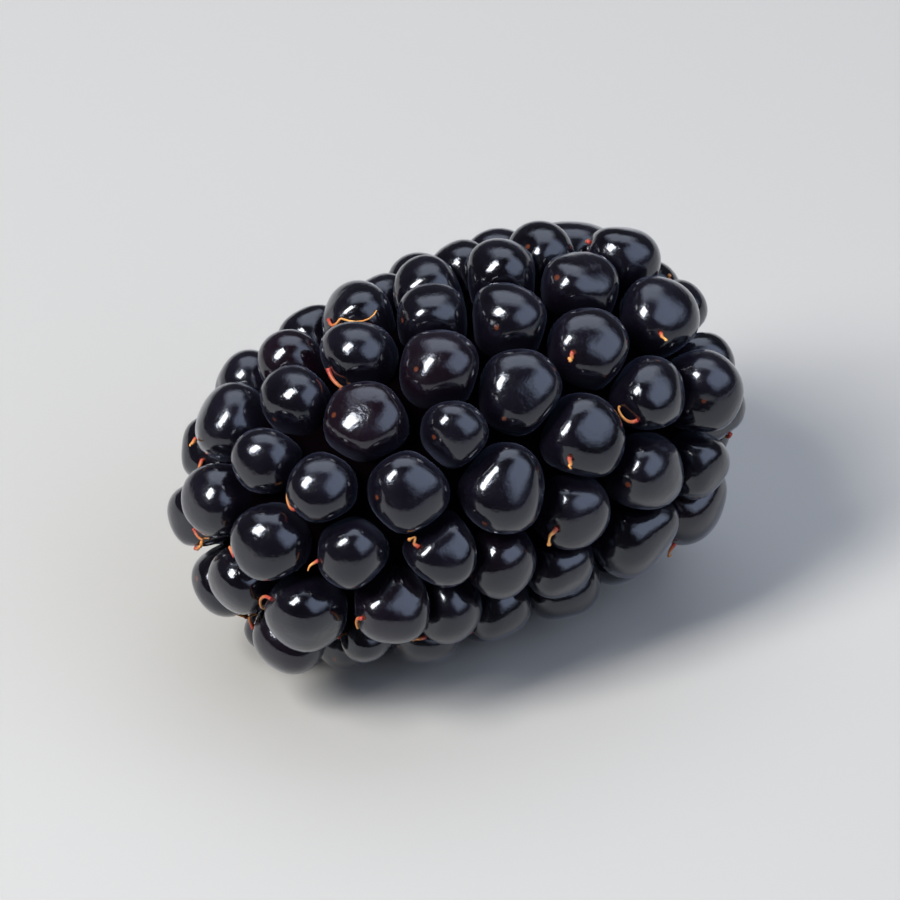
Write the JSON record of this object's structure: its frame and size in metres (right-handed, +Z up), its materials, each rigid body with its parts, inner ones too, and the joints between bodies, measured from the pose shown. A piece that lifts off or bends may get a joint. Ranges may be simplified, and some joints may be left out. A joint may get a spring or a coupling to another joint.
{
  "type": "bramble berry",
  "caption": "Ripe black bramble berry as picked: plump drupelets packed round a core, with a pale core end in the hollow base.",
  "frame": {"origin": "on the surface that the berry lies on, under the middle of its box", "axes": "+Z up; X along the berry's long axis, with the tip towards -X and the hollow base with the core's end towards +X"},
  "size_m": [0.0348, 0.0236, 0.0231],
  "materials": {
    "drupelet_skin": "glossy thin fruit skin, near black",
    "core_pith": "dry torn pith, pale tan"
  },
  "bodies": {
    "root": {"drupelets": "drupelet_skin", "receptacle": "core_pith"}
  },
  "joints": []
}
